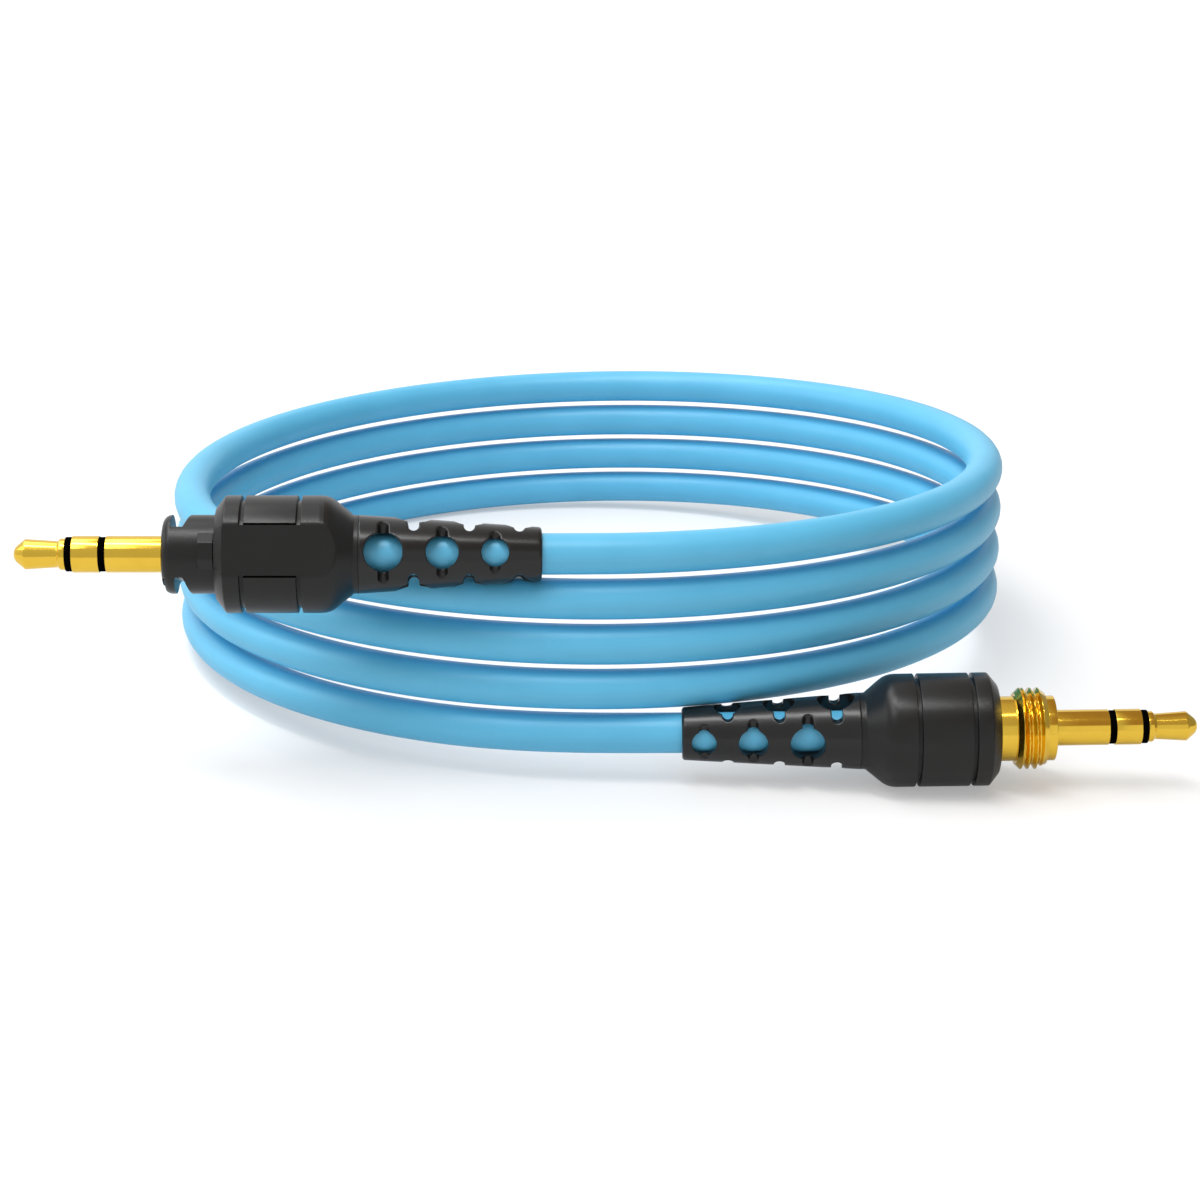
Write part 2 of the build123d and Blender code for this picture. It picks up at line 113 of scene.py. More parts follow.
HEADPHONE = plug_frame(mounts["headphone_plug"], HEADPHONE_ROLL)
SOURCE = plug_frame(mounts["source_plug"], SOURCE_ROLL)
SOURCE_REAR = SOURCE @ Matrix.Translation((0, 0, -NECK_EXTRA))


# ---------------------------------------------------------------- camera
CAMERA_PLACE = (0.44, -257.3, 78.6)     # in the coil's frame
CAMERA_PITCH = math.radians(17.0)       # downwards
CAMERA_YAW = math.radians(0.18)
CAMERA_ROLL = math.radians(-0.496)
CAMERA_LENS = 68.85
CAMERA_SENSOR = 36.0
CAMERA_RANGE = (0.01, 50.0)


def make_camera():
    """The camera, set in the coil's frame."""
    forward = Vector((
        math.sin(CAMERA_YAW) * math.cos(CAMERA_PITCH),
        math.cos(CAMERA_YAW) * math.cos(CAMERA_PITCH),
        -math.sin(CAMERA_PITCH),
    ))
    level = Vector((math.cos(CAMERA_YAW), -math.sin(CAMERA_YAW), 0))
    above = level.cross(forward)
    right = level * math.cos(CAMERA_ROLL) + above * math.sin(CAMERA_ROLL)
    data = bpy.data.cameras.new("camera")
    data.lens = CAMERA_LENS
    data.sensor_width = CAMERA_SENSOR
    data.clip_start, data.clip_end = CAMERA_RANGE
    camera = linked("camera", data)
    place = COIL @ Vector(CAMERA_PLACE)
    back = -coil_direction(*forward)
    side = coil_direction(*right)
    camera.matrix_world = Matrix.Translation(place) @ turned(side, back.cross(side), back)
    bpy.context.scene.camera = camera


make_camera()


# ---------------------------------------------------------------- cord
HEADPHONE_LEAD = (-2.96, -45.41, 18.45)     # the two leads' bends, in the coil's frame
SOURCE_LEAD = (7.53, -45.26, -0.05)
CORD_SPANS = 95            # between the control points on the coil's turns
CORD_FIRST = 10.0          # degrees from the coil's front to the first and the last of them
CORD_SMOOTHNESS = 10       # steps along each span and round a quarter of the section


def coil_point(angle, height, radius):
    """A point on the stage, from its angle in degrees round the coil from the front."""
    turn = math.radians(angle)
    return COIL @ Vector((radius * math.sin(turn), -radius * math.cos(turn), height))


def make_cord():
    """The whole cable from plug to plug: the two leads' points as listed, and the turns by a loop.
    """
    span = (360 * TURNS - 2 * CORD_FIRST) / CORD_SPANS
    # The curve passes inside its control points, so these stand as far outside the turns.
    outside = COIL_RADIUS * 8 / (6 + 2 * math.cos(math.radians(span)))
    points = [HEADPHONE @ Vector((0, 0, JACKET_END)), COIL @ Vector(HEADPHONE_LEAD)]
    for step in range(CORD_SPANS + 1):
        angle = CORD_FIRST + step * span
        points.append(coil_point(angle, PITCH * (TURNS - angle / 360), outside))
    points += [COIL @ Vector(SOURCE_LEAD), SOURCE_REAR @ Vector((0, 0, JACKET_END))]
    data = bpy.data.curves.new("cable", "CURVE")
    data.dimensions = "3D"
    data.bevel_depth = 1.0
    data.bevel_resolution = CORD_SMOOTHNESS
    data.resolution_u = CORD_SMOOTHNESS
    data.use_fill_caps = True
    spline = data.splines.new("NURBS")
    spline.points.add(len(points) - 1)
    for spot, point in zip(spline.points, points):
        spot.co = (*point, 1)
        spot.radius = CABLE_DIAMETER / 2 * MM
    spline.order_u = 3
    spline.use_endpoint_u = True
    cable = linked("cable", data)
    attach(cable, "root")
    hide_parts("cord_coil", "headphone_lead", "source_lead")
    return cable


cable = make_cord()


# ---------------------------------------------------------------- materials
TINT_RANGE = (0.3, 0.7)    # part of a noise's range over which the tint changes
PATCHES = 160.0            # scale of the broad changes of tint
MOULDED_BUMP = 0.5
WEAR = 500.0               # scale of the wear on plated metal
WEAR_VARY = 0.02
WEAR_BUMP = 0.05
WEAR_DEPTH = 0.000001


def node_material(name):
    """A new material, with its node tree and its shader."""
    material = bpy.data.materials.new(name)
    material.use_nodes = True
    tree = material.node_tree
    shader = tree.nodes["Principled BSDF"]
    return material, tree, shader


def add_noise(tree, scale, detail, rough=0.5):
    """Noise in the object's own coordinates."""
    place = tree.nodes.new("ShaderNodeTexCoord")
    noise = tree.nodes.new("ShaderNodeTexNoise")
    noise.inputs["Scale"].default_value = scale
    noise.inputs["Detail"].default_value = detail
    noise.inputs["Roughness"].default_value = rough
    tree.links.new(place.outputs["Object"], noise.inputs["Vector"])
    return noise


def remap(tree, source, low, high):
    """A number from low to high, as the source goes from 0 to 1."""
    ramp = tree.nodes.new("ShaderNodeMapRange")
    ramp.inputs["To Min"].default_value = low
    ramp.inputs["To Max"].default_value = high
    tree.links.new(source, ramp.inputs["Value"])
    return ramp.outputs["Result"]


def tint(tree, source, low, high):
    """A colour from low to high, as the source goes through the tint's range."""
    ramp = tree.nodes.new("ShaderNodeValToRGB")
    for element, position, colour in zip(ramp.color_ramp.elements, TINT_RANGE, (low, high)):
        element.position = position
        element.color = (*colour, 1)
    tree.links.new(source, ramp.inputs["Fac"])
    return ramp.outputs["Color"]


def add_bump(tree, shader, source, strength, distance):
    """Relief on a shader, with its depth in metres."""
    bump = tree.nodes.new("ShaderNodeBump")
    bump.inputs["Strength"].default_value = strength
    bump.inputs["Distance"].default_value = distance
    tree.links.new(source, bump.inputs["Height"])
    tree.links.new(bump.outputs["Normal"], shader.inputs["Normal"])


def moulded(name, low, high, rough, grain=4000.0, depth=0.00001, vary=0.06, specular=0.5):
    """Moulded plastic or rubber: broad changes of tint, and fine grain in gloss and relief."""
    material, tree, shader = node_material(name)
    fine = add_noise(tree, grain, 3.0).outputs["Fac"]
    broad = add_noise(tree, PATCHES, 2.0).outputs["Fac"]
    tree.links.new(tint(tree, broad, low, high), shader.inputs["Base Color"])
    tree.links.new(remap(tree, fine, rough - vary, rough + vary), shader.inputs["Roughness"])
    shader.inputs["Specular IOR Level"].default_value = specular
    add_bump(tree, shader, fine, MOULDED_BUMP, depth)
    return material


def polished(name, low, high, rough):
    """Plated metal: nearly smooth, with faint wear in its gloss."""
    material, tree, shader = node_material(name)
    wear = add_noise(tree, WEAR, 4.0, 0.6).outputs["Fac"]
    tree.links.new(tint(tree, wear, low, high), shader.inputs["Base Color"])
    tree.links.new(remap(tree, wear, rough - WEAR_VARY, rough + WEAR_VARY),
                   shader.inputs["Roughness"])
    shader.inputs["Metallic"].default_value = 1.0
    add_bump(tree, shader, wear, WEAR_BUMP, WEAR_DEPTH)
    return material


BLACK = ((0.0088, 0.0086, 0.0084), (0.0108, 0.0105, 0.0102))
# Deep black: the insulators' own colour, and also the painted shade in the markers' grooves.
DEEP_BLACK = ((0.0012, 0.0011, 0.0011), (0.0020, 0.0018, 0.0018))

jacket = moulded("jacket", (0.110, 0.500, 0.775), (0.122, 0.530, 0.815), 0.40, grain=2500.0)
black = moulded("black_plastic", *BLACK, 0.31, specular=0.34)
boot_black = moulded("boot_rubber", *BLACK, 0.24, depth=0.000002, vary=0.02, specular=0.42)
insulator = moulded("insulator", *DEEP_BLACK, 0.5, specular=0.0)
pale = moulded("pale_plastic", (0.6, 0.6, 0.57), (0.68, 0.68, 0.65), 0.45)
red = moulded("red_enamel", (0.5, 0.03, 0.02), (0.6, 0.05, 0.03), 0.25)
green = moulded("green_enamel", (0.02, 0.25, 0.06), (0.04, 0.32, 0.09), 0.25)
gold = polished("gold", (0.84, 0.54, 0.062), (0.88, 0.58, 0.070), 0.13)
copper = polished("copper", (0.85, 0.4, 0.22), (0.9, 0.45, 0.26), 0.25)
steel = polished("steel", (0.6, 0.6, 0.6), (0.7, 0.7, 0.7), 0.3)

FINISH = {
    "contact_gold": gold,
    "collar_gold": gold,
    "insulator": insulator,
    "housing_plastic": black,
    "collar_plastic": black,
    "marker_plastic": black,
    "boot_rubber": boot_black,
    "sleeve_plastic": pale,
    "steel": steel,
    "green_enamel": green,
    "red_enamel": red,
    "copper": copper,
    "jacket": jacket,
}


def paint(thing, material):
    """Give a piece this material alone."""
    thing.data.materials.clear()
    thing.data.materials.append(material)


for part in frame["record"]["subparts"]:
    paint(nodes[part["node"]], FINISH[part["material_slot"]])
paint(cable, jacket)


# ---------------------------------------------------------------- mesh tools, in millimetres
SEGMENTS = 256             # round a turned piece
FINE = 0.05                # spacing of the rows where a surface is shaped
BEND = 9                   # degrees that each step of a rounding turns
INSIDE = 3.0               # up to this radius a collar or housing is bore, which isn't shaped
MERGE = 0.0005             # points closer than this are one
SLIDE_GAP = 0.03           # between pieces that push into each other
SOFT_EDGE = 0.08           # rounding of the housings' and collars' edges
MARGIN = 0.1               # tells a surface from those that are deeper
EDGE_BLEND = 0.12          # width of the rounding between two shaped surfaces
SHARP = math.radians(32)   # a steeper edge is shaded sharp
SEAT_MARGIN = 0.02         # beyond the seat's ends, its walls still take the painted groove shade
WALL_FACING = 0.9          # share of a wall's normal along the axis, above which it takes the painted groove shade


def rounded(corners):
    """An outline's points from its corners (radius, height) or (radius, height, rounding)."""
    points = []
    for index, corner in enumerate(corners):
        here = Vector(corner[:2])
        if len(corner) < 3:
            points.append(here)
            continue
        arriving = (here - Vector(corners[index - 1][:2])).normalized()
        leaving = (Vector(corners[(index + 1) % len(corners)][:2]) - here).normalized()
        half_turn = arriving.angle(leaving) / 2
        reach = corner[2] * math.tan(half_turn)
        centre = here + (leaving - arriving).normalized() * corner[2] / math.cos(half_turn)
        first = here - arriving * reach - centre
        side = 1 if arriving.x * leaving.y > arriving.y * leaving.x else -1
        steps = max(2, round(math.degrees(2 * half_turn) / BEND))
        for step in range(steps + 1):
            turn = side * 2 * half_turn * step / steps
            cosine, sine = math.cos(turn), math.sin(turn)
            spoke = (first.x * cosine - first.y * sine, first.x * sine + first.y * cosine)
            points.append(centre + Vector(spoke))
    return points


def dense(points, low, high):
    """The same closed outline, with more rows on its outer stretches between two heights."""
    result = []
    for here, after in zip(points, points[1:] + points[:1]):
        result.append(here)
        inside = low <= min(here.y, after.y) and max(here.y, after.y) <= high
        outside = min(here.x, after.x) > INSIDE
        count = math.ceil((after - here).length / FINE)
        if inside and outside and count > 1:
            result += [here.lerp(after, step / count) for step in range(1, count)]
    return result


def lathe(points, shape=None, arc=None):
    """A closed mesh: an outline turned about Z, all round or between two angles.

    shape(angle, radius, height) gives a point's own radius."""
    first, last = arc or (0, 2 * math.pi)
    columns = SEGMENTS + 1 if arc else SEGMENTS
    angles = [first + (last - first) * column / SEGMENTS for column in range(columns)]
    verts = []
    for point in points:
        for angle in angles:
            radius = shape(angle, point.x, point.y) if shape else point.x
            verts.append((radius * math.cos(angle), radius * math.sin(angle), point.y))
    faces = []
    for row in range(len(points)):
        below = ((row + 1) % len(points)) * columns
        for column in range(SEGMENTS):
            beside = (column + 1) % columns
            faces.append((row * columns + column, row * columns + beside,
                          below + beside, below + column))
    if arc:
        faces.append([row * columns for row in range(len(points))])
        faces.append([row * columns + SEGMENTS for row in range(len(points))][::-1])
    mesh = bpy.data.meshes.new("turned")
    mesh.from_pydata(verts, [], faces)
    tidy(mesh)
    return mesh


def tidy(mesh):
    """Merge what falls together on the axis and turn every face outwards."""
    form = bmesh.new()
    form.from_mesh(mesh)
    bmesh.ops.remove_doubles(form, verts=form.verts, dist=MERGE)
    bmesh.ops.recalc_face_normals(form, faces=form.faces)
    form.to_mesh(mesh)
    form.free()


def smaller(one, other, blend=EDGE_BLEND):
    """The smaller of two radii, with the edge between them rounded."""
    share = max(blend - abs(one - other), 0) / blend
    return min(one, other) - share * share * blend / 4


def applied(mesh, *settings):
    """The mesh after these modifiers, each given as its kind and a dict of its settings."""
    holder = linked("holder", mesh)
    for kind, values in settings:
        modifier = holder.modifiers.new(kind, kind)
        for key, value in values.items():
            setattr(modifier, key, value)
    graph = bpy.context.evaluated_depsgraph_get()
    result = bpy.data.meshes.new_from_object(holder.evaluated_get(graph))
    bpy.data.objects.remove(holder)
    return result


def add_piece(name, mesh, place, node, slot, floor=0):
    """Set a mesh from a plug's frame in place of a CAD node.

    With a floor, the markers' grooves take the deep black as painted shade: in the seat, all that
    is closer to the axis than the floor, and all walls across the axis."""
    for face in mesh.polygons:
        seated = SEAT_BACK - SEAT_MARGIN < face.center.z < SEAT_FRONT + SEAT_MARGIN
        # Painted shade: the seat's deep faces and its walls across the axis are marked for the deep
        # black.
        painted_groove_shade = face.center.to_2d().length < floor or abs(face.normal.z) > WALL_FACING
        face.material_index = int(floor > 0 and seated and painted_groove_shade)
    mesh.transform(place)
    mesh.shade_smooth()
    mesh.set_sharp_from_angle(angle=SHARP)
    piece = linked(name, mesh)
    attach(piece, "root")
    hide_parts(node)
    paint(piece, FINISH[slot])
    # The grooves' painted shade uses the insulators' deep black as a second material.
    if floor:
        mesh.materials.append(insulator)


# ---------------------------------------------------------------- contacts
# Each radius is named for what it belongs to, and each height for the end that it marks.
CONTACT = 1.75             # the gold
INSULATOR = 1.64           # the black rings, a little below the gold
PIN = 0.5
TIP_TUBE = 0.75
RING_TUBE = 1.0
SLEEVE_BORE = 1.25
SHANK = 1.55
TIP_COLLAR = 1.5
TIP_COLLAR_FRONT = TIP_BACK + 0.5
TIP_NECK = 1.25
TIP_NECK_FRONT = TIP_BACK + 0.75
TIP_NECK_ROUND = 0.15
TIP_WIDEST = 1.45
TIP_WIDEST_ROUND = 0.25
NOSE = 0.55
NOSE_LENGTH = 1.1
NOSE_ROUND = 1.1
TIP_END = 14.0
INSULATOR_WIDTH = 0.65
RING_FRONT = TIP_BACK - INSULATOR_WIDTH
RING_BACK = RING_FRONT - 2.5
SLEEVE_FRONT = RING_BACK - INSULATOR_WIDTH
FLANGE = 2.6
FLANGE_FRONT = -5.6
FLANGE_BACK = FLANGE_FRONT - 0.6
WASHER = 2.0
WASHER_BACK = FLANGE_BACK - 0.5
SOLDER_DISC = 1.5
SOLDER_DISC_BACK = WASHER_BACK - 0.4
TIP_TUBE_BACK = SOLDER_DISC_BACK - 0.6
PIN_BACK = TIP_TUBE_BACK - 0.7
METAL_EDGE = 0.04          # rounding of the gold's edges

CONTACT_OUTLINES = {
    "tip_contact": ("contact_gold", [
        (0, TIP_END), (0, PIN_BACK), (PIN, PIN_BACK), (PIN, TIP_BACK),
        (TIP_COLLAR, TIP_BACK, METAL_EDGE), (TIP_COLLAR, TIP_COLLAR_FRONT, METAL_EDGE),
        (TIP_NECK, TIP_NECK_FRONT, TIP_NECK_ROUND),
        (TIP_WIDEST, TIP_END - NOSE_LENGTH, TIP_WIDEST_ROUND), (NOSE, TIP_END, NOSE_ROUND),
    ]),
    "tip_insulator": ("insulator", [
        (PIN, TIP_TUBE_BACK), (TIP_TUBE, TIP_TUBE_BACK), (TIP_TUBE, RING_FRONT),
        (INSULATOR, RING_FRONT), (INSULATOR, TIP_BACK, METAL_EDGE), (PIN, TIP_BACK),
    ]),
    "ring_contact": ("contact_gold", [
        (TIP_TUBE, SOLDER_DISC_BACK), (SOLDER_DISC, SOLDER_DISC_BACK),
        (SOLDER_DISC, WASHER_BACK), (RING_TUBE, WASHER_BACK), (RING_TUBE, RING_BACK),
        (CONTACT, RING_BACK, METAL_EDGE), (CONTACT, RING_FRONT, METAL_EDGE),
        (TIP_TUBE, RING_FRONT),
    ]),
    "ring_insulator": ("insulator", [
        (RING_TUBE, WASHER_BACK), (WASHER, WASHER_BACK), (WASHER, FLANGE_BACK),
        (SLEEVE_BORE, FLANGE_BACK), (SLEEVE_BORE, SLEEVE_FRONT), (INSULATOR, SLEEVE_FRONT),
        (INSULATOR, RING_BACK), (RING_TUBE, RING_BACK),
    ]),
    "sleeve_contact": ("contact_gold", [
        (SLEEVE_BORE, FLANGE_BACK), (FLANGE, FLANGE_BACK), (FLANGE, FLANGE_FRONT),
        (SHANK, FLANGE_FRONT), (SHANK, 0), (CONTACT, 0), (CONTACT, SLEEVE_FRONT, METAL_EDGE),
        (SLEEVE_BORE, SLEEVE_FRONT),
    ]),
}

for plug, place in (("headphone", HEADPHONE), ("source", SOURCE)):
    for part, (slot, corners) in CONTACT_OUTLINES.items():
        add_piece(f"{plug}_{part}_turned", lathe(rounded(corners)), place, f"{plug}_{part}", slot)


# ---------------------------------------------------------------- collars
COLLAR = 3.75              # radius of the bayonet collar
FLANGE_ROOM = FLANGE + SLIDE_GAP
FACE_FLAT = 1.85           # radius of the flat of the bayonet collar's front face
FACE_FALL = 0.15           # its rim is this far behind the flat
FACE_ROUND = 0.84
LUG_SETBACK = 0.35         # the second lug is this far behind the first
CHANNEL_FRONTS = (-0.97, -0.97 - LUG_SETBACK)
CHANNEL_FLOOR = 2.4        # height of the channels' floors above the axis
CHANNEL_FLOOR_END = -2.0
CHANNEL_BACK = -2.75
CHANNEL_CORNER = 0.25
CHANNEL_SIDE = 0.2         # sine of the angle from X that the channels stay well outside
KEY_FLAT = 4.25            # height of the key's top above the axis
KEY_WIDTH = 1.6
KEY_ENDS = (-5.05, -3.6)
KEY_SIDE = 0.5             # cosine of the angle from X that the key stays well within
KEY_EDGE = 0.05


def channel_height(height, front):
    """Height of a channel's surface above the axis.

    From the front it has a wall, a rounded corner, a flat floor and an S-shaped rear wall."""
    if height >= front or height <= CHANNEL_BACK:
        return 2 * COLLAR
    behind = front - height
    if behind < CHANNEL_CORNER:
        corner = 1 - behind / CHANNEL_CORNER
        return CHANNEL_FLOOR + CHANNEL_CORNER * (1 - math.sqrt(1 - corner * corner))
    climb = max(CHANNEL_FLOOR_END - height, 0) / (CHANNEL_FLOOR_END - CHANNEL_BACK)
    return CHANNEL_FLOOR + (COLLAR - CHANNEL_FLOOR) * climb * climb * (3 - 2 * climb)


def bayonet_shape(angle, radius, height):
    """Cut the channels at both sides, set the second lug back, and raise the key."""
    if radius < INSIDE or height > 0:
        return radius
    sine = math.sin(angle)
    cosine = math.cos(angle)
    side = 0 if sine > 0 else 1
    if abs(sine) > CHANNEL_SIDE:
        radius = smaller(radius, channel_height(height, CHANNEL_FRONTS[side]) / abs(sine))
        if side == 1 and height > -LUG_SETBACK:
            radius = smaller(radius, CHANNEL_FLOOR / abs(sine))
    if KEY_ENDS[0] < height < KEY_ENDS[1] and cosine > KEY_SIDE:
        bevel = (KEY_FLAT + KEY_WIDTH / 2) / (cosine + abs(sine))
        radius = max(radius, smaller(KEY_FLAT / cosine, bevel, KEY_EDGE))
    return radius


bayonet = rounded([
    (SHANK, 0), (FACE_FLAT, 0), (COLLAR, -FACE_FALL, FACE_ROUND), (COLLAR, HOUSING_FRONT),
    (COLLAR, COLLAR_BACK), (FLANGE_ROOM, COLLAR_BACK), (FLANGE_ROOM, FLANGE_FRONT),
    (SHANK, FLANGE_FRONT),
])
bayonet_mesh = lathe(dense(bayonet, HOUSING_FRONT, 0), bayonet_shape)
add_piece("headphone_collar_turned", bayonet_mesh, HEADPHONE, "headphone_bayonet_collar",
          "collar_plastic")

NECK = 3.175               # radius of the step in front of the thread and of the neck behind it
THREAD = 4.0
THREAD_ROOT = 3.54
THREAD_PITCH = 0.75
THREAD_BACK = -3.85
THREAD_FRONT = -0.9
THREAD_PHASE = 0.5         # of a turn
THREAD_START = -3.3        # behind this the last ridge stays uncut
THREAD_LEAD_IN = 0.15
THREAD_CREST = 0.12        # half a crest, as a share of half the pitch
THREAD_FLANK = 0.7         # and one flank
THREAD_EDGE = 0.04
CHAMFER = 0.5


def clamped(value):
    """A value kept between 0 and 1."""
    return min(max(value, 0), 1)


def thread_shape(angle, radius, height):
    """Right-hand thread with flat crests and narrow roots, from the front to the last ridge."""
    if radius < NECK + MARGIN:
        return radius
    turns = height / THREAD_PITCH - angle / (2 * math.pi) + THREAD_PHASE
    wave = 2 * abs(turns - math.floor(turns) - 0.5)
    groove = clamped((wave - THREAD_CREST) / THREAD_FLANK)
    groove *= clamped((height - THREAD_START) / THREAD_LEAD_IN)
    return smaller(radius, THREAD - (THREAD - THREAD_ROOT) * groove, THREAD_EDGE)


threaded = rounded([
    (SHANK, 0), (NECK, 0, SOFT_EDGE), (NECK, THREAD_FRONT), (THREAD - CHAMFER, THREAD_FRONT),
    (THREAD, THREAD_FRONT - CHAMFER), (THREAD, THREAD_BACK + CHAMFER),
    (THREAD - CHAMFER, THREAD_BACK), (NECK, THREAD_BACK), (NECK, COLLAR_BACK - NECK_EXTRA),
    (FLANGE_ROOM, COLLAR_BACK - NECK_EXTRA), (FLANGE_ROOM, FLANGE_FRONT), (SHANK, FLANGE_FRONT),
])
threaded_mesh = lathe(dense(threaded, THREAD_BACK, THREAD_FRONT), thread_shape)
add_piece("source_collar_turned", threaded_mesh, SOURCE, "source_threaded_collar", "collar_gold")


# ---------------------------------------------------------------- housings and markers
HEADPHONE_HOUSING = 5.6    # radii of the two housings
SOURCE_HOUSING = 5.55
BORE = COLLAR + SLIDE_GAP
FRONT_LAND = BORE + 0.65   # radius of the front face round the collar
BEVEL_END = HOUSING_FRONT - 0.9
BEVEL_ROUND = 0.25
SEAT_DEPTH = 1.2
BOOT_WAIST = 3.0           # radius of the boot inside the housing's mouth
MOUTH = BOOT_WAIST + SLIDE_GAP
MOUTH_OUTER = 3.75
MOUTH_LAND = 0.5
MOUTH_ROUND = 0.3          # where the shoulder meets the land
MOUTH_EDGE = 0.03          # where the land meets the boot
SHOULDER_SLOPE = math.radians(40)
SHOULDER_ROUND = 2.3
PAD_WIDTH = 5.0
PAD_MARGIN = 0.01          # the filling of the seat reaches over its end walls
PAD_SIDE = 0.1             # cosine of the angle from X that the pad stays well within
GROOVE = 0.4               # width of the groove at each side of a marker
GROOVE_DEPTH = 0.5
CLIP_GAP = 0.08
CAP_LIP = 1.2


def rear_end(radius):
    """A housing's rear: barrel, conical shoulder, mouth, and back along the inside to the bore."""
    land = BOOT_FRONT + MOUTH_LAND
    corner = land + (radius - MOUTH_OUTER) / math.tan(SHOULDER_SLOPE)
    return [
        (radius, corner, SHOULDER_ROUND), (MOUTH_OUTER, land, MOUTH_ROUND),
        (MOUTH_OUTER, BOOT_FRONT, MOUTH_EDGE), (MOUTH, BOOT_FRONT), (MOUTH, BORE_END),
        (BORE, BORE_END),
    ]


def front_end(radius, bore):
    """A housing's front: flat face round the collar, and bevel."""
    return [
        (bore, HOUSING_FRONT), (FRONT_LAND, HOUSING_FRONT, SOFT_EDGE),
        (radius, BEVEL_END, BEVEL_ROUND),
    ]


def marker(radius, inner):
    """A marker's outline: a rib that fills the seat, and a layer with a groove at each side."""
    rib = radius - GROOVE_DEPTH
    back, front = SEAT_BACK + GROOVE, SEAT_FRONT - GROOVE
    return rounded([
        (inner, SEAT_FRONT), (rib, SEAT_FRONT), (rib, front), (radius, front, SOFT_EDGE),
        (radius, back, SOFT_EDGE), (rib, back), (rib, SEAT_BACK), (inner, SEAT_BACK),
    ])


PAD_HEIGHT = math.sqrt(HEADPHONE_HOUSING**2 - (PAD_WIDTH / 2) ** 2)
PAD_ANGLE = math.asin(PAD_WIDTH / 2 / HEADPHONE_HOUSING)


def pad_shape(angle, radius, height):
    """Flatten the pad's side, and fill the marker's seat there."""
    if radius < BORE + MARGIN:
        return radius
    cosine = math.cos(angle)
    side = abs(math.atan2(math.sin(angle), cosine))
    if side < PAD_ANGLE and SEAT_BACK - PAD_MARGIN < height < SEAT_FRONT + PAD_MARGIN:
        radius = HEADPHONE_HOUSING
    return smaller(radius, PAD_HEIGHT / cosine) if cosine > PAD_SIDE else radius


seat = HEADPHONE_HOUSING - SEAT_DEPTH
housing = rounded(front_end(HEADPHONE_HOUSING, BORE) + [
    (HEADPHONE_HOUSING, SEAT_FRONT, SOFT_EDGE), (seat, SEAT_FRONT), (seat, SEAT_BACK),
    (HEADPHONE_HOUSING, SEAT_BACK, SOFT_EDGE),
] + rear_end(HEADPHONE_HOUSING))
housing_mesh = lathe(dense(housing, BOOT_FRONT, BEVEL_END), pad_shape)
# The last argument of each add_piece here is the radius below which faces in the seat take the
# painted groove shade.
add_piece("headphone_housing_turned", housing_mesh, HEADPHONE, "headphone_housing",
          "housing_plastic", PAD_HEIGHT - MARGIN)
clip_angle = PAD_ANGLE + CLIP_GAP / HEADPHONE_HOUSING
clip = lathe(marker(HEADPHONE_HOUSING, seat + SLIDE_GAP),
             arc=(clip_angle, 2 * math.pi - clip_angle))
add_piece("headphone_marker_turned", clip, HEADPHONE, "headphone_marker_clip", "marker_plastic",
          HEADPHONE_HOUSING - MARGIN)

# The source plug's shell pushes its spigot through the marker ring and into the front cap.
spigot = SOURCE_HOUSING - SEAT_DEPTH
spigot_front = HOUSING_FRONT - CAP_LIP
cap = rounded(front_end(SOURCE_HOUSING, NECK + SLIDE_GAP) + [
    (SOURCE_HOUSING, SEAT_FRONT, SOFT_EDGE), (spigot + SLIDE_GAP, SEAT_FRONT),
    (spigot + SLIDE_GAP, spigot_front), (NECK + SLIDE_GAP, spigot_front),
])
shell = rounded([
    (spigot, spigot_front - SLIDE_GAP), (spigot, SEAT_BACK), (SOURCE_HOUSING, SEAT_BACK, SOFT_EDGE),
] + rear_end(SOURCE_HOUSING) + [(BORE, spigot_front - SLIDE_GAP)])
ring = marker(SOURCE_HOUSING, spigot + SLIDE_GAP)
# The last argument of each add_piece here is the radius below which faces in the seat take the
# painted groove shade.
add_piece("source_cap_turned", lathe(cap), SOURCE_REAR, "source_front_cap", "housing_plastic",
          spigot)
add_piece("source_shell_turned", lathe(shell), SOURCE_REAR, "source_rear_shell",
          "housing_plastic", spigot)
add_piece("source_marker_turned", lathe(ring), SOURCE_REAR, "source_marker_ring",
          "marker_plastic", SOURCE_HOUSING - MARGIN)


# ---------------------------------------------------------------- strain relief
BOOT_INNER = 2.05          # the boot's radii
BOOT_ROOT = 3.76
BOOT_END = 2.6
ROOT_ROUND = 0.04
END_ROUND = 0.3
LIP_ROUND = 0.1
HOLE_COUNT = 6             # bores, in turn along X and along Y, with a hole at each end
HOLE_FIRST = 2.34          # root to the middle of the first
HOLE_PITCH = 2.85
HOLE_PITCH_RATIO = 0.95    # each pitch to the one before
HOLE_DIAMETER = 3.65
HOLE_RATIO = 0.92          # each hole to the one before
HOLE_STEPS = 96
GROOVE_WIDTH = 1.03        # groove straight across each hole, with a round floor
GROOVE_FLOOR = 2.05        # height of the grooves' floors above the axis
GROOVE_STEPS = 16
VOXEL = 0.075
SMOOTHING = 6
KEPT_FACES = 0.35


def prism(section, reach, across):
    """A section of points (out, height) along the boot, pushed out to both sides by reach.

    Out is X and the push along Y if it is across, and the other way round if not."""
    count = len(section)
    verts = []
    for side in (-reach, reach):
        for out, height in section:
            verts.append((out, side, height) if across else (side, out, height))
    faces = [tuple(range(count)), tuple(range(count, 2 * count))[::-1]]
    faces += [(i, (i + 1) % count, count + (i + 1) % count, count + i) for i in range(count)]
    mesh = bpy.data.meshes.new("cutter")
    mesh.from_pydata(verts, [], faces)
    tidy(mesh)
    return mesh


